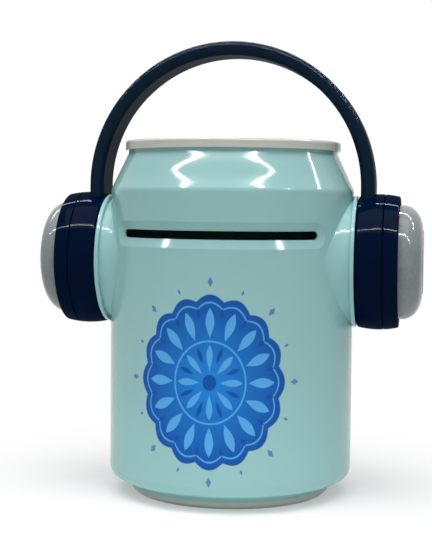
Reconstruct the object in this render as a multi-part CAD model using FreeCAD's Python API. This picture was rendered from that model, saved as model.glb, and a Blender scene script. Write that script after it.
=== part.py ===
import FreeCAD, Part
import math
import os

from FreeCAD import Vector

# A moulded can-shaped money box with a coin slot, a plug lid and a headphone-style carrying handle.
# Millimetres, +Z up, origin under the middle of the can on the surface that it stands on.
# The coin slot faces -Y and the two ears lie on the X axis.

# Can shells
BODY_R = 46.8
BODY_H = 113.0
WALL = 2.0
HEEL_R = 39.6
HEEL_LIP_R = 38.6
HEEL_LIP_H = 1.3
HEEL_RISE = 2.8
HEEL_FILLET = 4.5
SHOULDER_RISE = 13.9
SHOULDER_FILLET = 3.0
NECK_R = 40.3
NECK_H = 1.1

# Coin slot in the front shell
SLOT_LENGTH = 75.0
SLOT_H = 3.1
SLOT_DROP = 16.3
SLOT_BEVEL = 3.2
SLOT_BEVEL_DEPTH = 1.4

# Base cap, snapped into the floor of the shells
BASE_H = 2.9
BASE_R = 38.0
BASE_FOOT_R = 36.6
BASE_FOOT_H = 1.2
BASE_HOLE_R = 34.0
BASE_RECESS_MARGIN = 5.0
BASE_RECESS_DEPTH = 1.2
BASE_PLUG_H = 5.0
BASE_PLUG_WALL = 2.0
BASE_FIT = 0.2
BASE_BEAD = 0.5
BASE_BEAD_H = 1.2
BASE_BEAD_GAP = 0.1

# Lid, plugged into the neck
LID_H = 3.5
LID_LIP = 1.1
LID_FILLET = 1.0
LID_RIM = 3.6
LID_RECESS = 1.6
LID_RECESS_SLOPE = 0.8
LID_SKIRT_H = 6.0
LID_SKIRT_WALL = 1.8
LID_FIT = 0.25
LID_BEAD_R = 28.0
LID_BEAD_W = 2.0
LID_RELIEF_H = 0.9
LID_RELIEF_SLOPE = 0.45
TAB_LENGTH = 25.0
TAB_W = 14.0
TAB_HOLE_LENGTH = 10.0
TAB_HOLE_W = 8.0
TAB_RIVET_R = 3.0
TAB_RIVET_H = 0.5

# Ears: hub fixed to the can, drum that turns on it, ring, dome and end disc
DRUM_R = 25.7
DRUM_CROWN = 0.9
DRUM_W = 9.7
DRUM_WALL = 2.6
DRUM_WEB = 2.2
DRUM_FILLET = 0.9
EDGE_BEVEL = 0.2
EAR_MARGIN = 1.7
FLANGE_LIP = 0.2
FLANGE_T = 1.6
FLANGE_FILLET = 0.4
BOSS_REACH = 0.25
BOSS_STEP = 1.5
BOSS_WALL = 2.0
BOSS_FLARE_R = 9.0
BOSS_FLARE_DEG = 52.0
BOSS_FLARE_START = 1.6
HUB_PLUG = 4.0
HUB_FIT = 0.1
SPIGOT_R = 9.0
SPIGOT_WALL = 2.2
SPIGOT_FIT = 0.06
SLEEVE_WALL = 2.4
POST_R = 3.4
RUN_GAP = 0.3
DOG_W = 4.0
DOG_DEPTH = 2.0
DOG_FIT = 0.1
STOP_CIRCLE_R = 17.0
STOP_PEG_R = 1.4
STOP_FIT = 0.2
SWING_DEG = 90.0
RING_W = 5.45
RING_WEB = 2.0
RING_FILLET = 0.6
DOME_R = 21.6
DOME_LENGTH = 12.25
DOME_WALL = 1.8
DOME_ROUND_X = 7.2
DOME_ROUND_R = 10.2
DOME_FIT = 0.1
DISC_R = 12.0
DISC_T = 1.2
DISC_SINK = 1.1
DISC_FIT = 0.1

# Screw and washer that hold each ring on its spigot
SCREW_R = 1.5
SCREW_FIT = 0.05
SCREW_GRIP = 9.0
SCREW_HEAD_R = 3.2
SCREW_HEAD_H = 2.0
SCREW_HEAD_FILLET = 0.65
SCREW_CROSS_LENGTH = 3.8
SCREW_CROSS_W = 0.8
SCREW_CROSS_DEPTH = 1.1
SCREW_HOLE_FIT = 0.4
WASHER_R = 4.5
WASHER_T = 0.8

# Headband between the two drums
BAND_T = 5.3
BAND_W = 18.0
BAND_CORNER_R = 2.3
BAND_INSET = 1.4
LEG_H = 2.4
SEAT_GAP = 0.05
TENON_T = 3.6
TENON_W = 11.0
TENON_DEPTH = 5.0
TENON_FIT = 0.05

# Heights that follow from the sizes above
LIP_Z = BASE_H + HEEL_LIP_H
FLOOR_Z = LIP_Z + WALL
HEEL_Z = LIP_Z + HEEL_RISE
SHOULDER_Z = BASE_H + BODY_H
NECK_Z = SHOULDER_Z + SHOULDER_RISE
RIM_Z = NECK_Z + NECK_H
LID_TOP_Z = RIM_Z + LID_H
SLOT_Z = SHOULDER_Z - SLOT_DROP
DRUM_EDGE_R = DRUM_R - DRUM_CROWN
FLANGE_R = DRUM_EDGE_R + FLANGE_LIP
BOSS_R = FLANGE_R - BOSS_STEP
BORE_R = BOSS_R - BOSS_WALL
EAR_Z = SHOULDER_Z - EAR_MARGIN - FLANGE_R

# Stations along the ear axis, outwards from the can
BOSS_X = BODY_R + BOSS_REACH
FLANGE_X = BOSS_X + FLANGE_T
DRUM_X = FLANGE_X + RUN_GAP
DRUM_END_X = DRUM_X + DRUM_W
RING_X = DRUM_END_X + RUN_GAP
WEB_X = RING_X + RING_WEB
RING_END_X = RING_X + RING_W
DOME_END_X = WEB_X + DOME_LENGTH

# Arch of the headband
BAND_MID_R = DRUM_X + DRUM_W / 2 - BAND_INSET
BAND_IN_R = BAND_MID_R - BAND_T / 2
BAND_OUT_R = BAND_MID_R + BAND_T / 2
ARCH_Z = EAR_Z + DRUM_R + LEG_H

# Cutters run past the faces that they cut by this much
PAST = 2.0

X_AXIS = Vector(1, 0, 0)
Y_AXIS = Vector(0, 1, 0)
Z_AXIS = Vector(0, 0, 1)
ORIGIN = Vector(0, 0, 0)


def turned(points):
    """Solid of revolution about Z from (radius, height) points."""
    corners = [Vector(r, 0, z) for r, z in points]
    face = Part.Face(Part.makePolygon(corners + corners[:1]))
    return face.revolve(ORIGIN, Z_AXIS, 360)


def ear_turned(points):
    """Solid of revolution about the ear axis from (station, radius) points."""
    corners = [Vector(x, 0, EAR_Z + r) for x, r in points]
    face = Part.Face(Part.makePolygon(corners + corners[:1]))
    return face.revolve(Vector(0, 0, EAR_Z), X_AXIS, 360)


def ear_disc(radius, x_from, x_to):
    """Cylinder on the ear axis between two stations."""
    return Part.makeCylinder(radius, x_to - x_from, Vector(x_from, 0, EAR_Z), X_AXIS)


def ear_tube(outer, inner, x_from, x_to):
    """Hollow cylinder on the ear axis between two stations."""
    return ear_disc(outer, x_from, x_to).cut(ear_disc(inner, x_from - PAST, x_to + PAST))


def box(x_range, y_range, z_range):
    """Box between two values on each axis."""
    low, high = zip(x_range, y_range, z_range)
    size = [b - a for a, b in zip(low, high)]
    return Part.makeBox(*size, Vector(*low))


def round_edges(shape, radius, matches):
    """Fillet the circular edges for which matches(circle) is true."""
    edges = []
    for edge in shape.Edges:
        if isinstance(edge.Curve, Part.Circle) and matches(edge.Curve):
            edges.append(edge)
    return shape.makeFillet(radius, edges)


def half_turned(shape):
    """The same piece on the other ear: half a turn about the can's axis."""
    other = shape.copy()
    other.rotate(ORIGIN, Z_AXIS, 180)
    return other


def alike(size, other):
    """Whether two lengths are the same to a ten-thousandth."""
    return math.isclose(size, other, abs_tol=1e-4)


def can_circle(radius, height):
    """Test for a circle about the can's axis with this radius and height."""
    return lambda circle: alike(circle.Radius, radius) and alike(circle.Center.z, height)


def ear_circle(radius, station):
    """Test for a circle about the ear axis with this radius and station."""
    return lambda circle: alike(circle.Radius, radius) and alike(circle.Center.x, station)


def mitre(run, rise):
    """Shift of the corner between a wall and a slope, seen from the inside of the same thickness."""
    return WALL * (math.hypot(run, rise) - rise) / run


def can_outside():
    """Filled can with a foot lip, a heel cone, a straight side, a shoulder cone and a short neck."""
    solid = turned([
        (0, BASE_H),
        (HEEL_LIP_R, BASE_H),
        (HEEL_LIP_R, LIP_Z),
        (HEEL_R, LIP_Z),
        (BODY_R, HEEL_Z),
        (BODY_R, SHOULDER_Z),
        (NECK_R, NECK_Z),
        (NECK_R, RIM_Z),
        (0, RIM_Z),
    ])
    solid = round_edges(solid, HEEL_FILLET, can_circle(BODY_R, HEEL_Z))
    return round_edges(solid, SHOULDER_FILLET, can_circle(BODY_R, SHOULDER_Z))


def can_inside():
    """Hollow of the can: the outside moved in by the wall, with open ends."""
    side_r = BODY_R - WALL
    heel_z = HEEL_Z + mitre(BODY_R - HEEL_R, HEEL_RISE)
    shoulder_drop = mitre(BODY_R - NECK_R, SHOULDER_RISE)
    heel_r = HEEL_R - mitre(HEEL_RISE, BODY_R - HEEL_R)
    shoulder_z = SHOULDER_Z - shoulder_drop
    solid = turned([
        (0, BASE_H - PAST),
        (BASE_HOLE_R, BASE_H - PAST),
        (BASE_HOLE_R, FLOOR_Z),
        (heel_r, FLOOR_Z),
        (side_r, heel_z),
        (side_r, shoulder_z),
        (NECK_R - WALL, NECK_Z - shoulder_drop),
        (NECK_R - WALL, RIM_Z + PAST),
        (0, RIM_Z + PAST),
    ])
    solid = round_edges(solid, HEEL_FILLET - WALL, can_circle(side_r, heel_z))
    return round_edges(solid, SHOULDER_FILLET - WALL, can_circle(side_r, shoulder_z))


def boss():
    """Filled boss of the right ear, flared where it runs into the can's side."""
    start_x = BOSS_X - BOSS_FLARE_START
    points = []
    for turn in (0, BOSS_FLARE_DEG / 2, BOSS_FLARE_DEG):
        angle = math.radians(turn)
        x = start_x - BOSS_FLARE_R * math.sin(angle)
        r = BOSS_R + BOSS_FLARE_R * (1 - math.cos(angle))
        points.append(Vector(x, 0, EAR_Z + r))
    deep = points[-1].z
    sides = Part.makePolygon([
        points[-1],
        Vector(0, 0, deep),
        Vector(0, 0, EAR_Z),
        Vector(BOSS_X, 0, EAR_Z),
        Vector(BOSS_X, 0, EAR_Z + BOSS_R),
        points[0],
    ])
    face = Part.Face(Part.Wire([Part.Arc(*points).toShape()] + sides.Edges))
    return face.revolve(Vector(0, 0, EAR_Z), X_AXIS, 360)


def slot_cutter():
    """Slit through the wall with a bevelled mouth, bent round the can and closed by round ends."""
    half_slit = SLOT_H / 2
    slope = SLOT_BEVEL / SLOT_BEVEL_DEPTH
    deep_r = BODY_R - SLOT_BEVEL_DEPTH
    mouth_r = BODY_R + PAST
    half_mouth = half_slit + slope * (mouth_r - deep_r)
    throat_r = BODY_R - WALL - PAST
    half_angle = math.degrees(math.asin((SLOT_LENGTH / 2 - half_slit) / BODY_R))
    section = [
        (throat_r, -half_slit),
        (deep_r, -half_slit),
        (mouth_r, -half_mouth),
        (mouth_r, half_mouth),
        (deep_r, half_slit),
        (throat_r, half_slit),
    ]
    corners = [Vector(r, 0, SLOT_Z + z) for r, z in section]
    face = Part.Face(Part.makePolygon(corners + corners[:1]))
    face.rotate(ORIGIN, Z_AXIS, -90 - half_angle)
    cutter = face.revolve(ORIGIN, Z_AXIS, 2 * half_angle)
    for angle in (-90 - half_angle, -90 + half_angle):
        outward = Vector(math.cos(math.radians(angle)), math.sin(math.radians(angle)), 0)
        level = Vector(0, 0, SLOT_Z)
        throat = Part.makeCylinder(half_slit, deep_r - throat_r, level + outward * throat_r, outward)
        mouth = Part.makeCone(half_slit, half_mouth, mouth_r - deep_r, level + outward * deep_r, outward)
        cutter = cutter.fuse([throat, mouth])
    return cutter.removeSplitter()


def can_shells():
    """Front and rear halves of the can, parted on the plane of the ears."""
    right_boss = boss()
    bores = ear_disc(BORE_R, -BOSS_X - PAST, BOSS_X + PAST)
    can = can_outside().fuse([right_boss, half_turned(right_boss)]).removeSplitter()
    can = can.cut(can_inside()).cut(bores)
    reach = BOSS_X + PAST
    front_half = box((-reach, reach), (-reach, 0), (0, LID_TOP_Z))
    rear_half = box((-reach, reach), (0, reach), (0, LID_TOP_Z))
    front = can.common(front_half).cut(slot_cutter())
    rear = can.common(rear_half)
    return front, rear


def base_cap():
    """Foot of the can: a disc with a sunk underside and a plug whose bead snaps over the shells' floor."""
    plug_r = BASE_HOLE_R - BASE_FIT
    plug_in_r = plug_r - BASE_PLUG_WALL
    recess_r = BASE_FOOT_R - BASE_RECESS_MARGIN
    bead_z = FLOOR_Z + BASE_BEAD_GAP
    bead_r = BASE_HOLE_R + BASE_BEAD
    return turned([
        (0, BASE_RECESS_DEPTH),
        (recess_r, BASE_RECESS_DEPTH),
        (recess_r + BASE_RECESS_DEPTH, 0),
        (BASE_FOOT_R, 0),
        (BASE_R, BASE_FOOT_H),
        (BASE_R, BASE_H),
        (plug_r, BASE_H),
        (plug_r, bead_z),
        (bead_r, bead_z),
        (plug_r, bead_z + BASE_BEAD_H),
        (plug_r, BASE_H + BASE_PLUG_H),
        (plug_in_r, BASE_H + BASE_PLUG_H),
        (plug_in_r, BASE_H),
        (0, BASE_H),
    ])


def stadium(length, width, z, height):
    """Upright block with a stadium-shaped plan, centred on the can's axis and long in Y."""
    reach = (length - width) / 2
    block = box((-width / 2, width / 2), (-reach, reach), (z, z + height))
    ends = []
    for y in (-reach, reach):
        ends.append(Part.makeCylinder(width / 2, height, Vector(0, y, z)))
    return block.fuse(ends).removeSplitter()


def lid():
    """Can-end lid: a rim round a sunk panel, a plug skirt, and a ring-pull shape moulded on the panel."""
    lid_r = NECK_R + LID_LIP
    panel_r = lid_r - LID_RIM
    panel_z = LID_TOP_Z - LID_RECESS
    skirt_r = NECK_R - WALL - LID_FIT
    skirt_in_r = skirt_r - LID_SKIRT_WALL
    foot_z = RIM_Z - LID_SKIRT_H
    plate = turned([
        (0, RIM_Z),
        (skirt_in_r, RIM_Z),
        (skirt_in_r, foot_z),
        (skirt_r, foot_z),
        (skirt_r, RIM_Z),
        (lid_r, RIM_Z),
        (lid_r, LID_TOP_Z),
        (panel_r, LID_TOP_Z),
        (panel_r - LID_RECESS_SLOPE, panel_z),
        (0, panel_z),
    ])
    plate = round_edges(plate, LID_FILLET, can_circle(lid_r, LID_TOP_Z))
    bead_in_r = LID_BEAD_R - LID_BEAD_W
    bead = turned([
        (bead_in_r, panel_z),
        (LID_BEAD_R, panel_z),
        (LID_BEAD_R - LID_RELIEF_SLOPE, panel_z + LID_RELIEF_H),
        (bead_in_r + LID_RELIEF_SLOPE, panel_z + LID_RELIEF_H),
    ])
    tab = stadium(TAB_LENGTH, TAB_W, panel_z, LID_RELIEF_H)
    hole = stadium(TAB_HOLE_LENGTH, TAB_HOLE_W, panel_z, LID_RELIEF_H + PAST)
    hole.translate(Vector(0, (TAB_W - TAB_LENGTH) / 2, 0))
    rivet_place = Vector(0, (TAB_LENGTH - TAB_W) / 2, panel_z)
    rivet = Part.makeCylinder(TAB_RIVET_R, LID_RELIEF_H + TAB_RIVET_H, rivet_place)
    return plate.fuse([bead, tab.cut(hole), rivet]).removeSplitter()


def ear_hub():
    """Flange plugged into the boss of the two shells, with the spigot for the drum and a stop peg."""
    plug_r = BORE_R - HUB_FIT
    flange = ear_disc(FLANGE_R, BOSS_X, FLANGE_X)
    flange = round_edges(flange, FLANGE_FILLET, lambda circle: True)
    plug = ear_tube(plug_r, plug_r - BOSS_WALL, BOSS_X - HUB_PLUG, BOSS_X)
    spigot = ear_tube(SPIGOT_R, SPIGOT_R - SPIGOT_WALL, FLANGE_X, RING_X)
    post = ear_disc(POST_R, FLANGE_X, RING_X)
    peg_z = EAR_Z - STOP_CIRCLE_R
    peg = Part.makeCylinder(STOP_PEG_R, RUN_GAP + DRUM_WEB, Vector(FLANGE_X, 0, peg_z), X_AXIS)
    hub = flange.fuse([plug, spigot, post, peg]).removeSplitter()
    pilot = ear_disc(SCREW_R + SCREW_FIT, RING_X - SCREW_GRIP, RING_X + PAST)
    half = DOG_W / 2
    dogs = box((RING_X - DOG_DEPTH, RING_X + PAST), (-SPIGOT_R, SPIGOT_R), (EAR_Z - half, EAR_Z + half))
    dogs = dogs.cut(ear_disc(SPIGOT_R - SPIGOT_WALL, RING_X - DOG_DEPTH - PAST, RING_X + 2 * PAST))
    return hub.cut(pilot).cut(dogs)


def barrel(grow):
    """Crowned outside that the drum and the ring share, larger by grow."""
    middle_x = (DRUM_X + RING_END_X) / 2
    edge_z = EAR_Z + DRUM_EDGE_R + grow
    start = Vector(DRUM_X, 0, edge_z)
    crown = Vector(middle_x, 0, EAR_Z + DRUM_R + grow)
    end = Vector(RING_END_X, 0, edge_z)
    axis_start = Vector(DRUM_X, 0, EAR_Z)
    axis_end = Vector(RING_END_X, 0, EAR_Z)
    sides = Part.makePolygon([end, axis_end, axis_start, start])
    face = Part.Face(Part.Wire([Part.Arc(start, crown, end).toShape()] + sides.Edges))
    return face.revolve(axis_start, X_AXIS, 360)


def stop_slot():
    """Arc slot round the stop peg, as long as the swing to both sides."""
    half_w = STOP_PEG_R + STOP_FIT
    x_from = DRUM_X - PAST
    x_to = DRUM_X + DRUM_WEB + PAST
    pivot = Vector(0, 0, EAR_Z)
    near_z = EAR_Z - STOP_CIRCLE_R + half_w
    far_z = EAR_Z - STOP_CIRCLE_R - half_w
    outline = [(x_from, near_z), (x_to, near_z), (x_to, far_z), (x_from, far_z)]
    corners = [Vector(x, 0, z) for x, z in outline]
    face = Part.Face(Part.makePolygon(corners + corners[:1]))
    face.rotate(pivot, X_AXIS, -SWING_DEG)
    slot = face.revolve(pivot, X_AXIS, 2 * SWING_DEG)
    for swing in (-SWING_DEG, SWING_DEG):
        end = Part.makeCylinder(half_w, x_to - x_from, Vector(x_from, 0, EAR_Z - STOP_CIRCLE_R), X_AXIS)
        end.rotate(pivot, X_AXIS, swing)
        slot = slot.fuse(end)
    return slot


def tenon_block(fit):
    """Tongue of the headband's leg, or its socket when the fit is above zero."""
    top = EAR_Z + DRUM_R
    half_t = TENON_T / 2 + fit
    half_w = TENON_W / 2 + fit
    return box(
        (BAND_MID_R - half_t, BAND_MID_R + half_t),
        (-half_w, half_w),
        (top - TENON_DEPTH - fit, top + LEG_H),
    )


def drum():
    """Cup that turns on the spigot, with a sleeve, a slotted web and a socket for the headband's leg."""
    bore_r = SPIGOT_R + SPIGOT_FIT
    sleeve_r = bore_r + SLEEVE_WALL
    web_x = DRUM_X + DRUM_WEB
    inner_r = DRUM_R - DRUM_WALL
    cup = ear_turned([
        (DRUM_X, bore_r),
        (DRUM_X, DRUM_R),
        (DRUM_END_X - EDGE_BEVEL, DRUM_R),
        (DRUM_END_X, DRUM_R - EDGE_BEVEL),
        (DRUM_END_X, inner_r),
        (web_x, inner_r),
        (web_x, sleeve_r),
        (DRUM_END_X, sleeve_r),
        (DRUM_END_X, bore_r),
    ])
    cup = round_edges(cup.common(barrel(0)), DRUM_FILLET, ear_circle(DRUM_EDGE_R, DRUM_X))
    return cup.cut(stop_slot()).cut(tenon_block(TENON_FIT))


def ear_ring():
    """Outer ring of the ear: a rim round the dome, a web on the spigot's end and two locking dogs."""
    hole_r = SCREW_R + SCREW_HOLE_FIT
    seat_r = DOME_R + DOME_FIT
    ring = ear_turned([
        (RING_X, hole_r),
        (RING_X, DRUM_R - EDGE_BEVEL),
        (RING_X + EDGE_BEVEL, DRUM_R),
        (RING_END_X, DRUM_R),
        (RING_END_X, seat_r),
        (WEB_X, seat_r),
        (WEB_X, hole_r),
    ])
    ring = round_edges(ring.common(barrel(0)), RING_FILLET, ear_circle(DRUM_EDGE_R, RING_END_X))
    key_r = SPIGOT_R - DOG_FIT
    key_in_r = SPIGOT_R - SPIGOT_WALL + DOG_FIT
    half = DOG_W / 2 - DOG_FIT
    keys = ear_tube(key_r, key_in_r, RING_X - DOG_DEPTH + DOG_FIT, WEB_X)
    keys = keys.common(box((0, WEB_X), (-SPIGOT_R, SPIGOT_R), (EAR_Z - half, EAR_Z + half)))
    return ring.fuse(keys).removeSplitter()


def dome_form(inset):
    """Filled dome with a quarter-ellipse round its end, moved in by inset."""
    end_x = DOME_END_X - inset
    side_r = DOME_R - inset
    round_x = end_x - DOME_ROUND_X + inset
    flat_r = DOME_R - DOME_ROUND_R
    centre = Vector(round_x, 0, EAR_Z + flat_r)
    side = Vector(round_x, 0, EAR_Z + side_r)
    end = Vector(end_x, 0, EAR_Z + flat_r)
    quarter = Part.ArcOfEllipse(Part.Ellipse(side, end, centre), 0, math.pi / 2)
    sides = Part.makePolygon([
        end,
        Vector(end_x, 0, EAR_Z),
        Vector(WEB_X, 0, EAR_Z),
        Vector(WEB_X, 0, EAR_Z + side_r),
        side,
    ])
    face = Part.Face(Part.Wire([quarter.toShape()] + sides.Edges))
    return face.revolve(Vector(0, 0, EAR_Z), X_AXIS, 360)


def dome():
    """Hollow rounded cap seated in the ring, with a shallow seat for the end disc."""
    seat = ear_disc(DISC_R + DISC_FIT, DOME_END_X - DISC_SINK, DOME_END_X + PAST)
    return dome_form(0).cut(dome_form(DOME_WALL)).cut(seat)


def end_disc():
    """Black disc set in the end of the dome."""
    start = DOME_END_X - DISC_SINK
    disc = ear_disc(DISC_R, start, start + DISC_T)
    rounding = (DISC_T - DISC_SINK) / 2
    return round_edges(disc, rounding, ear_circle(DISC_R, start + DISC_T))


def washer():
    """Flat washer under the screw's head."""
    return ear_tube(WASHER_R, SCREW_R + SCREW_HOLE_FIT, WEB_X, WEB_X + WASHER_T)


def screw():
    """Cross-head screw through the washer and the ring into the hub's post."""
    head_x = WEB_X + WASHER_T
    head_end_x = head_x + SCREW_HEAD_H
    shank = ear_disc(SCREW_R, RING_X - SCREW_GRIP, head_x)
    head = ear_disc(SCREW_HEAD_R, head_x, head_end_x)
    head = round_edges(head, SCREW_HEAD_FILLET, ear_circle(SCREW_HEAD_R, head_end_x))
    long = SCREW_CROSS_LENGTH / 2
    half = SCREW_CROSS_W / 2
    depth = (head_end_x - SCREW_CROSS_DEPTH, head_end_x + PAST)
    flat = box(depth, (-long, long), (EAR_Z - half, EAR_Z + half))
    upright = box(depth, (-half, half), (EAR_Z - long, EAR_Z + long))
    return shank.fuse(head).removeSplitter().cut(flat.fuse(upright))


def band_section():
    """Rounded-rectangle section of the headband on the right, at the foot of the arch."""
    half_w = BAND_W / 2
    r = BAND_CORNER_R
    corners = [
        (BAND_IN_R + r, -half_w + r, 180),
        (BAND_OUT_R - r, -half_w + r, 270),
        (BAND_OUT_R - r, half_w - r, 0),
        (BAND_IN_R + r, half_w - r, 90),
    ]
    arcs = []
    for x, y, start in corners:
        points = []
        for angle in (start, start + 45, start + 90):
            turn = math.radians(angle)
            points.append(Vector(x + r * math.cos(turn), y + r * math.sin(turn), ARCH_Z))
        arcs.append(points)
    edges = []
    for arc, following in zip(arcs, arcs[1:] + arcs[:1]):
        edges.append(Part.Arc(*arc).toShape())
        edges.append(Part.makeLine(arc[-1], following[0]))
    return Part.Face(Part.Wire(edges))


def headband():
    """Half-round arch on two short legs, saddled on the drums and tongued into them."""
    section = band_section()
    arch = section.revolve(Vector(0, 0, ARCH_Z), -Y_AXIS, 180)
    leg = section.extrude(Vector(0, 0, -LEG_H - DRUM_R))
    leg = leg.cut(barrel(SEAT_GAP))
    leg = max(leg.Solids, key=lambda solid: solid.CenterOfMass.z)
    leg = leg.fuse(tenon_block(0))
    return arch.fuse([leg, half_turned(leg)]).removeSplitter()


def save(node, shape):
    """Write one node and say how many solids it has and how large it is."""
    shape.exportStep("parts/" + node + ".step")
    print(node, len(shape.Solids), round(shape.Volume, 2), shape.isValid())


def main():
    os.makedirs("parts", exist_ok=True)
    front, rear = can_shells()
    save("front_shell", front)
    save("rear_shell", rear)
    save("base_cap", base_cap())
    save("lid", lid())
    save("headband", headband())
    ear_pieces = {
        "ear_hub": ear_hub(),
        "drum": drum(),
        "ear_ring": ear_ring(),
        "ear_dome": dome(),
        "end_disc": end_disc(),
        "ear_washer": washer(),
        "ear_screw": screw(),
    }
    for name, piece in ear_pieces.items():
        save("right_" + name, piece)
        save("left_" + name, half_turned(piece))


main()
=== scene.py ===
"""Finish and stage for a can-shaped money box that wears a headphone-style carrying handle."""

import math

import bpy
import numpy as np
from mathutils import Matrix, Vector


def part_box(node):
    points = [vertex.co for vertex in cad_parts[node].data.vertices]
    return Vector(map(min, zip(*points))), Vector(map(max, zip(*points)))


bl_info = {
    "name": "Can Money Box",
    "version": (1, 0, 0),
    "blender": (4, 5, 0),
    "location": "View3D > Sidebar > Money Box",
    "description": "Surfaces, finishes and stage of a moulded can-shaped money box",
    "category": "Object",
}

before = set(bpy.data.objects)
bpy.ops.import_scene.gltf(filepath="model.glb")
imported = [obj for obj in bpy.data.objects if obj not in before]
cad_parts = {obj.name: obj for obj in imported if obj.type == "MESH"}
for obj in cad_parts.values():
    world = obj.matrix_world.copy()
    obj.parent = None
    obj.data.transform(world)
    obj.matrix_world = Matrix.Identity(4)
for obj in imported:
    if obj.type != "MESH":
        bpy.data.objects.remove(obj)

# The can; lengths in metres
FRONT_LOW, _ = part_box("front_shell")
CAN_RADIUS = -FRONT_LOW.y
SHOULDER_LOW_Z = 0.1159
SHOULDER_HIGH_Z = 0.1298
SHOULDER_SLACK_M = 0.00006
SHOULDER_TURNS = 1.4

# Moulded plastic: how many features of each noise go into a metre, and how strong they are
DRIFT_PER_M = 28.0
DRIFT = 0.03
HAZE_PER_M = 120.0
HAZE = 0.3
WAVE_PER_M = 38.0
PEEL_PER_M = 600.0
PEEL = 0.006
BUMP_M = 0.0004

# Line where the two halves of the can meet
SEAM_HALF_WIDTH_M = 0.00018
SEAM_SOFT_M = 0.0001
SEAM_PAST_CAN_M = 0.0004
SEAM_STRENGTH = 0.45
SEAM_COLOUR = (0.05, 0.12, 0.12)

# Silver lacquer
CLOUDS_PER_M = 210.0
CLOUD_GAIN = 1.6
CLOUD_CUT = 0.3
CLOUD_SHADE = 1.22
GRAINS_PER_M = 1900.0
GRAIN_GAIN = 2.4
GRAIN_CUT = 1.1
GRAIN_SHADE = 1.7
GRAIN_STRENGTH = 0.5

# Plated steel
STEEL_GRAIN_PER_M = 1400.0
STEEL_DARK = 0.85
STEEL_LIGHT = 1.1
STEEL_ROUGHNESS = 0.25
STEEL_ROUGHNESS_SPREAD = 0.2
STEEL_BUMP_STRENGTH = 0.1
STEEL_BUMP_M = 0.0001

# Rosette, in shares of its radius; each ring has a middle, a half length and a width
OUTER_LEAVES = (0.68, 0.17, 0.62)
INNER_LEAVES = (0.28, 0.15, 0.52)
DEEP_LEAVES = (0.33, 0.10, 0.30)
DEEP_DIAMONDS = (0.80, 0.06, 0.30)
LARGE_DIAMONDS = (1.14, 0.060, 0.125)
SMALL_DIAMONDS = (1.10, 0.035, 0.070)
OUTER_LINE = 0.91
INNER_LINE = 0.47
LINE_HALF_WIDTH = 0.010
LINE_SOFT = 0.010
BUTTON = 0.09
LOBE_DEPTH = 0.07
EDGE_SOFT = 0.012
LEAF_SOFT = 0.12
DIAMOND_SOFT = 0.16
SHADE_START = 0.15
FRONT_SOFT_M = 0.001

# Stage; lengths in metres unless the name says otherwise
LAMP_AIM = (0.0, 0.0, 0.09)
FRONT_TUBE_AT = (0.0, -0.66, 1.19)
REAR_TUBE_AT = (0.0, 0.57, 1.19)
TUBE_SIZE = (3.4, 0.03)
CEILING_AT = (0.0, -0.30, 1.4)
CEILING_SIZE = (1.6, 1.2)
FRONT_LAMP_AT = (0.20, -0.9, 0.55)
FRONT_LAMP_SIZE = (2.4, 0.6)
FLOOR_RADIUS = 4.0
FLOOR_SIDES = 96
FADE_LEAD = 0.03
FADE_LENGTH = 0.20
TABLE_EDGE_SOFT = 0.1
CLIP_START = 0.01
IMAGE_HEIGHT_PX = 540
SENSOR_MM = 36.0
WHITE = (1.0, 1.0, 1.0, 1.0)


# Property groups


class FinishSettings(bpy.types.PropertyGroup):
    """Colours of the moulded pieces."""

    mint: bpy.props.FloatVectorProperty(
        name="Mint", description="Colour of the can and the ear flanges",
        subtype="COLOR", size=3, min=0.0, max=1.0, default=(0.335, 0.595, 0.590),
    )
    cream: bpy.props.FloatVectorProperty(
        name="Cream", description="Colour of the lid and the foot",
        subtype="COLOR", size=3, min=0.0, max=1.0, default=(0.62, 0.65, 0.585),
    )
    navy: bpy.props.FloatVectorProperty(
        name="Navy", description="Colour of the headband",
        subtype="COLOR", size=3, min=0.0, max=1.0, default=(0.0032, 0.0150, 0.0340),
    )
    cup: bpy.props.FloatVectorProperty(
        name="Cup navy", description="Colour of the ear cups and their rings",
        subtype="COLOR", size=3, min=0.0, max=1.0, default=(0.0002, 0.0055, 0.0250),
    )
    silver: bpy.props.FloatVectorProperty(
        name="Silver", description="Colour of the ear domes",
        subtype="COLOR", size=3, min=0.0, max=1.0, default=(0.215, 0.245, 0.25),
    )
    black: bpy.props.FloatVectorProperty(
        name="Black", description="Colour of the end discs",
        subtype="COLOR", size=3, min=0.0, max=1.0, default=(0.006, 0.006, 0.007),
    )
    steel: bpy.props.FloatVectorProperty(
        name="Steel", description="Colour of the screws and washers",
        subtype="COLOR", size=3, min=0.0, max=1.0, default=(0.55, 0.55, 0.57),
    )


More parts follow.
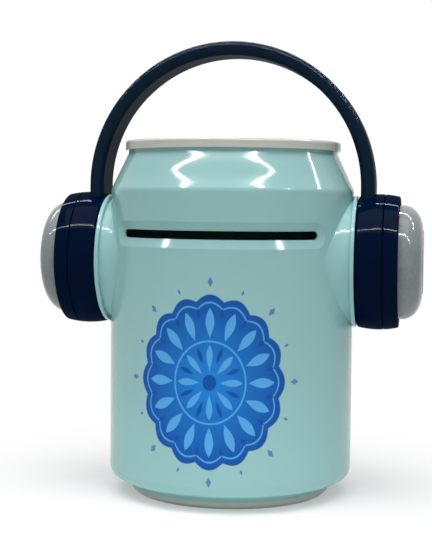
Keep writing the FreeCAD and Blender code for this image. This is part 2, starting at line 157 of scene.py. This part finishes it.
class PrintSettings(bpy.types.PropertyGroup):
    """Rosette printed on the front of the can."""

    height: bpy.props.FloatProperty(
        name="Height", description="Height of the rosette's middle above the table",
        subtype="DISTANCE", unit="LENGTH", default=0.0475, min=0.02, max=0.09,
    )
    radius: bpy.props.FloatProperty(
        name="Radius", description="Distance across from the rosette's middle to the tips of its lobes",
        subtype="DISTANCE", unit="LENGTH", default=0.0275, min=0.01, max=0.04,
    )
    stretch: bpy.props.FloatProperty(
        name="Stretch", description="Height of the rosette in proportion to its width",
        default=1.14, min=0.8, max=1.4,
    )
    petals: bpy.props.IntProperty(
        name="Petals", description="Petals in each ring", default=8, min=5, max=12,
    )
    deep: bpy.props.FloatVectorProperty(
        name="Deep blue", description="Colour at the edge of the rosette",
        subtype="COLOR", size=3, min=0.0, max=1.0, default=(0.003, 0.085, 0.40),
    )
    light: bpy.props.FloatVectorProperty(
        name="Light blue", description="Colour round the middle of the rosette",
        subtype="COLOR", size=3, min=0.0, max=1.0, default=(0.012, 0.23, 0.70),
    )
    pale: bpy.props.FloatVectorProperty(
        name="Pale blue", description="Colour of the petals",
        subtype="COLOR", size=3, min=0.0, max=1.0, default=(0.10, 0.42, 0.82),
    )
    accent: bpy.props.FloatVectorProperty(
        name="Accent", description="Colour of the small diamonds round the rosette",
        subtype="COLOR", size=3, min=0.0, max=1.0, default=(0.10, 0.24, 0.50),
    )


class StageSettings(bpy.types.PropertyGroup):
    """Camera, lamps and floor."""

    eye: bpy.props.FloatVectorProperty(
        name="Eye", description="Where the camera stands",
        subtype="TRANSLATION", unit="LENGTH", size=3, default=(0.0801, -0.4852, 0.1120),
    )
    aim: bpy.props.FloatVectorProperty(
        name="Aim", description="What the camera looks at",
        subtype="TRANSLATION", unit="LENGTH", size=3, default=(-0.0057, -0.0035, 0.0851),
    )
    roll: bpy.props.FloatProperty(
        name="Roll", description="Turn of the camera about its own line of sight",
        subtype="ANGLE", unit="ROTATION", default=0.0094,
    )
    focal_px: bpy.props.FloatProperty(
        name="Focal length", description="Focal length in pixels of the 540 pixel high picture",
        default=1267.9,
    )
    tube_watts: bpy.props.FloatProperty(
        name="Tubes", description="Power of each long tube, which shows only as a highlight",
        subtype="POWER", default=80.0, min=0.0,
    )
    soft_watts: bpy.props.FloatProperty(
        name="Ceiling", description="Power of the wide soft ceiling lamp",
        subtype="POWER", default=24.0, min=0.0,
    )
    front_watts: bpy.props.FloatProperty(
        name="Front", description="Power of the wide soft lamp in front, which gives no highlight",
        subtype="POWER", default=2.6, min=0.0,
    )
    surround: bpy.props.FloatProperty(
        name="Surround", description="Strength of the even light from all sides",
        default=0.2, min=0.0,
    )
    floor: bpy.props.FloatProperty(
        name="Floor", description="Paleness of the floor as it is seen",
        default=0.92, min=0.0, max=1.0,
    )
    bounce: bpy.props.FloatProperty(
        name="Bounce", description="Share of the light that the table top throws back at the object",
        default=0.95, min=0.0, max=1.0,
    )
    table: bpy.props.FloatProperty(
        name="Table", description="Radius of the pale table top, past which little light is thrown back",
        subtype="DISTANCE", unit="LENGTH", default=0.2, min=0.05,
    )
    ground: bpy.props.FloatProperty(
        name="Ground", description="Share of the light that the ground past the table top throws back",
        default=0.2, min=0.0, max=1.0,
    )


# Shader maths


class Signal:
    """A shader socket that can be used in Python arithmetic; each operation adds one Math node."""

    def __init__(self, tree, socket):
        self.tree = tree
        self.socket = socket

    def _math(self, operation, *values):
        return self.tree.node("ShaderNodeMath", {"operation": operation}, *values)

    def __add__(self, other):
        return self._math("ADD", self, other)

    def __radd__(self, other):
        return self._math("ADD", other, self)

    def __sub__(self, other):
        return self._math("SUBTRACT", self, other)

    def __rsub__(self, other):
        return self._math("SUBTRACT", other, self)

    def __mul__(self, other):
        return self._math("MULTIPLY", self, other)

    def __rmul__(self, other):
        return self._math("MULTIPLY", other, self)

    def __truediv__(self, other):
        return self._math("DIVIDE", self, other)

    def __rtruediv__(self, other):
        return self._math("DIVIDE", other, self)

    def __abs__(self):
        return self._math("ABSOLUTE", self)

    def cos(self):
        return self._math("COSINE", self)

    def sin(self):
        return self._math("SINE", self)

    def root(self):
        return self._math("SQRT", self)

    def arctan2(self, other):
        return self._math("ARCTAN2", self, other)

    def clamp(self):
        return self.tree.node("ShaderNodeClamp", {}, self, 0.0, 1.0)

    def below(self, edge, softness):
        """1 where the value is under edge, 0 over it, with a ramp of the given softness between."""
        return ((edge - self) / softness + 0.5).clamp()


class Tree:
    """Node tree of one material or world, with one method that adds any node."""

    def __init__(self, owner):
        owner.use_nodes = True
        self.nodes = owner.node_tree.nodes
        self.links = owner.node_tree.links
        self.nodes.clear()

    def put(self, value, socket):
        """Link a signal to a socket, or set the socket to a plain value."""
        if isinstance(value, Signal):
            self.links.new(value.socket, socket)
        else:
            socket.default_value = value

    def node(self, kind, settings, *inputs, output=0, **named):
        """Add a node, apply its settings, then set or link its sockets by place or by name."""
        made = self.nodes.new(kind)
        for key, value in settings.items():
            setattr(made, key, value)
        for key, value in enumerate(inputs):
            self.put(value, made.inputs[key])
        for key, value in named.items():
            self.put(value, made.inputs[key.replace("_", " ")])
        return Signal(self, made.outputs[output]) if made.outputs else None

    def place(self):
        """Object coordinates, which equal the shared frame."""
        return self.node("ShaderNodeTexCoord", {}, output="Object")

    def split(self, vector):
        """X, Y and Z of a vector."""
        made = self.nodes.new("ShaderNodeSeparateXYZ")
        self.put(vector, made.inputs[0])
        return [Signal(self, socket) for socket in made.outputs]

    def noise(self, vector, scale, detail=2.0, roughness=0.5):
        """Fractal noise between 0 and 1."""
        return self.node(
            "ShaderNodeTexNoise", {}, Vector=vector, Scale=scale, Detail=detail, Roughness=roughness,
        )

    def seen(self):
        """1 for rays from the camera, a glossy bounce or a clear piece, 0 for rays that only carry light."""
        path = self.nodes.new("ShaderNodeLightPath")
        kinds = ("Is Camera Ray", "Is Glossy Ray", "Is Transmission Ray")
        camera, glossy, clear = [Signal(self, path.outputs[kind]) for kind in kinds]
        return (camera + glossy + clear).clamp()

    def mix(self, factor, low, high):
        """Colour between two colours; the sockets' numbers are those of the Mix node's colour type."""
        made = self.nodes.new("ShaderNodeMix")
        made.data_type = "RGBA"
        for key, value in ((0, factor), (6, low), (7, high)):
            self.put(value, made.inputs[key])
        return Signal(self, made.outputs[2])

    def bump(self, height, strength, distance):
        """Surface normal bent by a height signal."""
        return self.node(
            "ShaderNodeBump", {}, Height=height, Strength=strength, Distance=distance, output="Normal",
        )

    def diffuse(self, paleness):
        """Matt grey surface."""
        return self.node("ShaderNodeBsdfDiffuse", {}, rgba([paleness] * 3))

    def principled(self, **named):
        """Principled surface wired to the material's output."""
        surface = self.node("ShaderNodeBsdfPrincipled", {}, **named)
        self.node("ShaderNodeOutputMaterial", {}, Surface=surface)


def rgba(colour):
    """Four-number colour from a three-number one."""
    return (*colour, 1.0)


def shaded(colour, factor):
    """The colour made lighter or darker by a factor, as four numbers."""
    return rgba([min(1.0, channel * factor) for channel in colour])


# Materials


def moulded_plastic(name, colour, roughness, shine=0.0, coat=0.0, paint=None, form=None):
    """Moulded plastic: faint colour drift, uneven gloss, a slow mould wave and fine peel.

    paint, if given, works the base colour over, and form adds a height in units of BUMP_M."""
    material = bpy.data.materials.new(name)
    tree = Tree(material)
    place = tree.place()
    drift = tree.noise(place, DRIFT_PER_M, detail=3.0)
    base = tree.mix(drift, shaded(colour, 1.0 - DRIFT), shaded(colour, 1.0 + DRIFT))
    if paint:
        base = paint(tree, place, base)
    haze = tree.noise(place, HAZE_PER_M, detail=4.0, roughness=0.6)
    wave = tree.noise(place, WAVE_PER_M, detail=0.0)
    height = wave + tree.noise(place, PEEL_PER_M, detail=1.0) * PEEL
    if form:
        height = height + form(tree, place)
    tree.principled(
        Base_Color=base,
        Roughness=(haze * HAZE + (1.0 - 0.5 * HAZE)) * roughness,
        Specular_IOR_Level=shine,
        Coat_Weight=coat,
        Coat_Roughness=roughness,
        Normal=tree.bump(height, strength=1.0, distance=BUMP_M),
    )
    return material


def shoulder_form(tree, place):
    """Slack of the moulded shoulder: a sine along its height, of SHOULDER_TURNS turns, level outside it."""
    _, _, z = tree.split(place)
    middle = 0.5 * (SHOULDER_LOW_Z + SHOULDER_HIGH_Z)
    rise = (z - middle) / (SHOULDER_HIGH_Z - SHOULDER_LOW_Z)
    held = (rise + 0.5).clamp() - 0.5
    return (held * (SHOULDER_TURNS * 2.0 * math.pi)).sin() * (SHOULDER_SLACK_M / BUMP_M)


def seam(tree, place, base):
    """Paint function for the fine line where the two halves of the can meet."""
    x, y, _ = tree.split(place)
    on_can = (x * x + y * y).root().below(CAN_RADIUS + SEAM_PAST_CAN_M, SEAM_SOFT_M)
    line = abs(y).below(SEAM_HALF_WIDTH_M, SEAM_SOFT_M) * on_can
    return tree.mix(line * SEAM_STRENGTH, base, rgba(SEAM_COLOUR))


def silver_flake(colour):
    """Paint function for silver lacquer: soft clouds a few millimetres wide with fine bright grains."""

    def paint(tree, place, base):
        clouds = (tree.noise(place, CLOUDS_PER_M) * CLOUD_GAIN - CLOUD_CUT).clamp()
        grains = (tree.noise(place, GRAINS_PER_M, detail=1.0) * GRAIN_GAIN - GRAIN_CUT).clamp()
        cloudy = tree.mix(clouds, base, shaded(colour, CLOUD_SHADE))
        return tree.mix(grains * GRAIN_STRENGTH, cloudy, shaded(colour, GRAIN_SHADE))

    return paint


def rosette(settings):
    """Paint function for a rosette on the unrolled front of the can, with small diamonds round it."""

    def paint(tree, place, base):
        x, y, z = tree.split(place)
        across = x.arctan2(0.0 - y) * CAN_RADIUS
        up = (z - settings.height) / settings.stretch
        share = (across * across + up * up).root() / settings.radius
        turn = up.arctan2(across)
        front = y.below(0.0, FRONT_SOFT_M)

        def ring_of(count, phase, middle, half_length):
            """How far a point is off the nearest of count spokes, and along it from the ring's middle."""
            return abs((turn * (0.5 * count) + phase).sin()), abs((share - middle) / half_length)

        def leaves(count, phase, middle, half_length, width):
            """Ring of leaves: widest at the middle of their length, closing to a point at both ends."""
            off, along = ring_of(count, phase, middle, half_length)
            return (off / width + along * along).below(1.0, LEAF_SOFT)

        def diamonds(count, phase, middle, half_length, width):
            """Ring of straight-sided diamonds."""
            off, along = ring_of(count, phase, middle, half_length)
            return (off / width + along).below(1.0, DIAMOND_SOFT)

        petals = settings.petals
        between = 0.5 * math.pi
        lobes = abs((turn * petals).cos()) * LOBE_DEPTH + (1.0 - LOBE_DEPTH)
        disc = (share / lobes).below(1.0, EDGE_SOFT)
        outwards = (share * (1.0 + SHADE_START) - SHADE_START).clamp()
        shade = tree.mix(outwards, rgba(settings.light), rgba(settings.deep))
        pale = (
            abs(share / lobes - OUTER_LINE).below(LINE_HALF_WIDTH, LINE_SOFT),
            abs(share - INNER_LINE).below(LINE_HALF_WIDTH, LINE_SOFT),
            leaves(petals * 2, 0.0, *OUTER_LEAVES),
            leaves(petals, 0.0, *INNER_LEAVES),
        )
        deep = (
            leaves(petals, between, *DEEP_LEAVES),
            diamonds(petals * 2, between, *DEEP_DIAMONDS),
            share.below(BUTTON, EDGE_SOFT),
        )
        outside = diamonds(petals, 0.0, *LARGE_DIAMONDS) + diamonds(petals, between, *SMALL_DIAMONDS)
        painted = tree.mix(disc * front, base, shade)
        for mask in pale:
            painted = tree.mix(mask * front, painted, rgba(settings.pale))
        for mask in deep:
            painted = tree.mix(mask * front, painted, rgba(settings.deep))
        painted = tree.mix(outside.clamp() * front, painted, rgba(settings.accent))
        return seam(tree, place, painted)

    return paint


def plated_steel(name, colour):
    """Plated steel with a fine uneven grain."""
    material = bpy.data.materials.new(name)
    tree = Tree(material)
    grain = tree.noise(tree.place(), STEEL_GRAIN_PER_M)
    tree.principled(
        Base_Color=tree.mix(grain, shaded(colour, STEEL_DARK), shaded(colour, STEEL_LIGHT)),
        Metallic=1.0,
        Roughness=grain * STEEL_ROUGHNESS_SPREAD + STEEL_ROUGHNESS,
        Normal=tree.bump(grain, STEEL_BUMP_STRENGTH, STEEL_BUMP_M),
    )
    return material


# Operators


def dress(nodes, material):
    """Give CAD nodes one material."""
    for name in nodes:
        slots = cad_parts[name].data.materials
        slots.clear()
        slots.append(material)


def both_ears(*names):
    """The right and left nodes of ear pieces."""
    return [side + "_" + name for name in names for side in ("right", "left")]


class MONEYBOX_OT_can(bpy.types.Operator):
    """Mint shells with the printed front, and the mint ear flanges."""

    bl_idname = "moneybox.can"
    bl_label = "Can"

    def execute(self, context):
        mint = context.scene.moneybox_finish.mint
        design = rosette(context.scene.moneybox_print)
        for name, paint, nodes in (
            ("mint_printed", design, ["front_shell"]),
            ("mint_plain", seam, ["rear_shell"] + both_ears("ear_hub")),
        ):
            mint_plastic = moulded_plastic(
                name, mint, roughness=0.09, shine=0.14, paint=paint, form=shoulder_form,
            )
            dress(nodes, mint_plastic)
        return {"FINISHED"}


class MONEYBOX_OT_lid_and_foot(bpy.types.Operator):
    """Cream lid and foot."""

    bl_idname = "moneybox.lid_and_foot"
    bl_label = "Lid and foot"

    def execute(self, context):
        finish = context.scene.moneybox_finish
        cream = moulded_plastic("cream", finish.cream, roughness=0.14, shine=0.14)
        dress(["lid", "base_cap"], cream)
        return {"FINISHED"}


class MONEYBOX_OT_headband(bpy.types.Operator):
    """Navy headband, drums and outer rings."""

    bl_idname = "moneybox.headband"
    bl_label = "Headband"

    def execute(self, context):
        finish = context.scene.moneybox_finish
        band = moulded_plastic("navy_band", finish.navy, roughness=0.12, coat=0.09)
        drum = moulded_plastic("navy_drum", finish.cup, roughness=0.07, coat=0.036)
        ring = moulded_plastic("navy_ring", finish.cup, roughness=0.04, coat=0.036)
        dress(["headband"], band)
        dress(both_ears("drum"), drum)
        dress(both_ears("ear_ring"), ring)
        return {"FINISHED"}


class MONEYBOX_OT_ear_caps(bpy.types.Operator):
    """Silver domes, black end discs and the hidden screws."""

    bl_idname = "moneybox.ear_caps"
    bl_label = "Ear caps"

    def execute(self, context):
        finish = context.scene.moneybox_finish
        flake = silver_flake(finish.silver)
        silver = moulded_plastic("silver", finish.silver, roughness=0.07, shine=0.10, paint=flake)
        black = moulded_plastic("black", finish.black, roughness=0.15, shine=0.08)
        dress(both_ears("ear_dome"), silver)
        dress(both_ears("end_disc"), black)
        dress(both_ears("ear_screw", "ear_washer"), plated_steel("steel", finish.steel))
        return {"FINISHED"}


def aimed_matrix(eye, aim, roll=0.0):
    """Placement at eye that looks at aim, turned by roll about the line of sight."""
    forward = (Vector(aim) - Vector(eye)).normalized()
    right = forward.cross(Vector((0.0, 0.0, 1.0))).normalized()
    up = right.cross(forward)
    turned_right = right * math.cos(roll) + up * math.sin(roll)
    turned_up = up * math.cos(roll) - right * math.sin(roll)
    rotation = Matrix((turned_right, turned_up, -forward)).transposed().to_4x4()
    return Matrix.Translation(Vector(eye)) @ rotation


def soft_lamp(name, eye, size, watts, lights=True, shows=True):
    """Rectangular lamp at eye, aimed at the object; it lights it, shows as a highlight, or both."""
    data = bpy.data.lights.new(name, "AREA")
    data.shape = "RECTANGLE"
    data.size, data.size_y = size
    data.energy = watts
    lamp = bpy.data.objects.new(name, data)
    lamp.matrix_world = aimed_matrix(eye, LAMP_AIM)
    lamp.visible_diffuse = lights
    lamp.visible_glossy = shows
    bpy.context.scene.collection.objects.link(lamp)


class MONEYBOX_OT_stage(bpy.types.Operator):
    """White floor and surround, soft lamps and the camera."""

    bl_idname = "moneybox.stage"
    bl_label = "Stage"

    def execute(self, context):
        scene = context.scene
        settings = scene.moneybox_stage
        scene.view_settings.view_transform = "Standard"
        self.add_floor(scene, settings)
        self.add_surround(scene, settings)
        soft_lamp("front_tube", FRONT_TUBE_AT, TUBE_SIZE, settings.tube_watts, lights=False)
        soft_lamp("rear_tube", REAR_TUBE_AT, TUBE_SIZE, settings.tube_watts, lights=False)
        soft_lamp("ceiling", CEILING_AT, CEILING_SIZE, settings.soft_watts)
        soft_lamp("front", FRONT_LAMP_AT, FRONT_LAMP_SIZE, settings.front_watts, shows=False)
        self.add_camera(scene, settings)
        return {"FINISHED"}

    def add_camera(self, scene, settings):
        """Camera at the photograph's viewing angle."""
        data = bpy.data.cameras.new("photo_camera")
        data.sensor_width = SENSOR_MM
        data.lens = settings.focal_px / IMAGE_HEIGHT_PX * SENSOR_MM
        data.clip_start = CLIP_START
        camera = bpy.data.objects.new("photo_camera", data)
        camera.matrix_world = aimed_matrix(settings.eye, settings.aim, settings.roll)
        scene.collection.objects.link(camera)
        scene.camera = camera

    def add_floor(self, scene, settings):
        """Round floor: points evenly spaced on a circle, joined to one flat face."""
        turn = np.linspace(0.0, 2.0 * np.pi, FLOOR_SIDES, endpoint=False)
        rim = np.stack([np.cos(turn), np.sin(turn), np.zeros_like(turn)], axis=1) * FLOOR_RADIUS
        mesh = bpy.data.meshes.new("floor")
        mesh.from_pydata(rim.tolist(), [], [list(range(FLOOR_SIDES))])
        floor = bpy.data.objects.new("floor", mesh)
        scene.collection.objects.link(floor)
        mesh.materials.append(self.floor_material(settings))

    def floor_material(self, settings):
        """Floor that is seen as pale with the object's shadow, and as plain white further out.

        As a light it is a pale table top on darker ground."""
        material = bpy.data.materials.new("floor")
        tree = Tree(material)
        x, y, _ = tree.split(tree.place())
        distance = (x * x + y * y).root()
        far = ((distance + FADE_LEAD) / FADE_LENGTH).clamp()
        white = tree.node("ShaderNodeEmission", {}, WHITE, 1.0)
        shown = tree.node("ShaderNodeMixShader", {}, far, tree.diffuse(settings.floor), white)
        on_table = distance.below(settings.table, TABLE_EDGE_SOFT)
        table, ground = tree.diffuse(settings.bounce), tree.diffuse(settings.ground)
        light = tree.node("ShaderNodeMixShader", {}, on_table, ground, table)
        surface = tree.node("ShaderNodeMixShader", {}, tree.seen(), light, shown)
        tree.node("ShaderNodeOutputMaterial", {}, surface)
        return material

    def add_surround(self, scene, settings):
        """White to the camera, in reflections and through clear pieces, softer as a light."""
        world = bpy.data.worlds.new("surround")
        scene.world = world
        tree = Tree(world)
        strength = tree.seen() * (1.0 - settings.surround) + settings.surround
        background = tree.node("ShaderNodeBackground", {}, WHITE, strength)
        tree.node("ShaderNodeOutputWorld", {}, background)


class MONEYBOX_PT_panel(bpy.types.Panel):
    """Steps of the money box in the sidebar."""

    bl_idname = "MONEYBOX_PT_panel"
    bl_label = "Money Box"
    bl_space_type = "VIEW_3D"
    bl_region_type = "UI"
    bl_category = "Money Box"

    def draw(self, context):
        for step in STEPS:
            self.layout.operator(step.bl_idname)


GROUPS = {
    "moneybox_finish": FinishSettings,
    "moneybox_print": PrintSettings,
    "moneybox_stage": StageSettings,
}
STEPS = (
    MONEYBOX_OT_can,
    MONEYBOX_OT_lid_and_foot,
    MONEYBOX_OT_headband,
    MONEYBOX_OT_ear_caps,
    MONEYBOX_OT_stage,
)


def register():
    for name, group in GROUPS.items():
        bpy.utils.register_class(group)
        setattr(bpy.types.Scene, name, bpy.props.PointerProperty(type=group))
    for step in STEPS:
        bpy.utils.register_class(step)
    bpy.utils.register_class(MONEYBOX_PT_panel)


def unregister():
    bpy.utils.unregister_class(MONEYBOX_PT_panel)
    for step in reversed(STEPS):
        bpy.utils.unregister_class(step)
    for name, group in GROUPS.items():
        delattr(bpy.types.Scene, name)
        bpy.utils.unregister_class(group)


def main():
    register()
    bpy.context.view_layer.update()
    bpy.ops.moneybox.can()
    bpy.ops.moneybox.lid_and_foot()
    bpy.ops.moneybox.headband()
    bpy.ops.moneybox.ear_caps()
    bpy.ops.moneybox.stage()


if __name__ == "__main__":
    main()
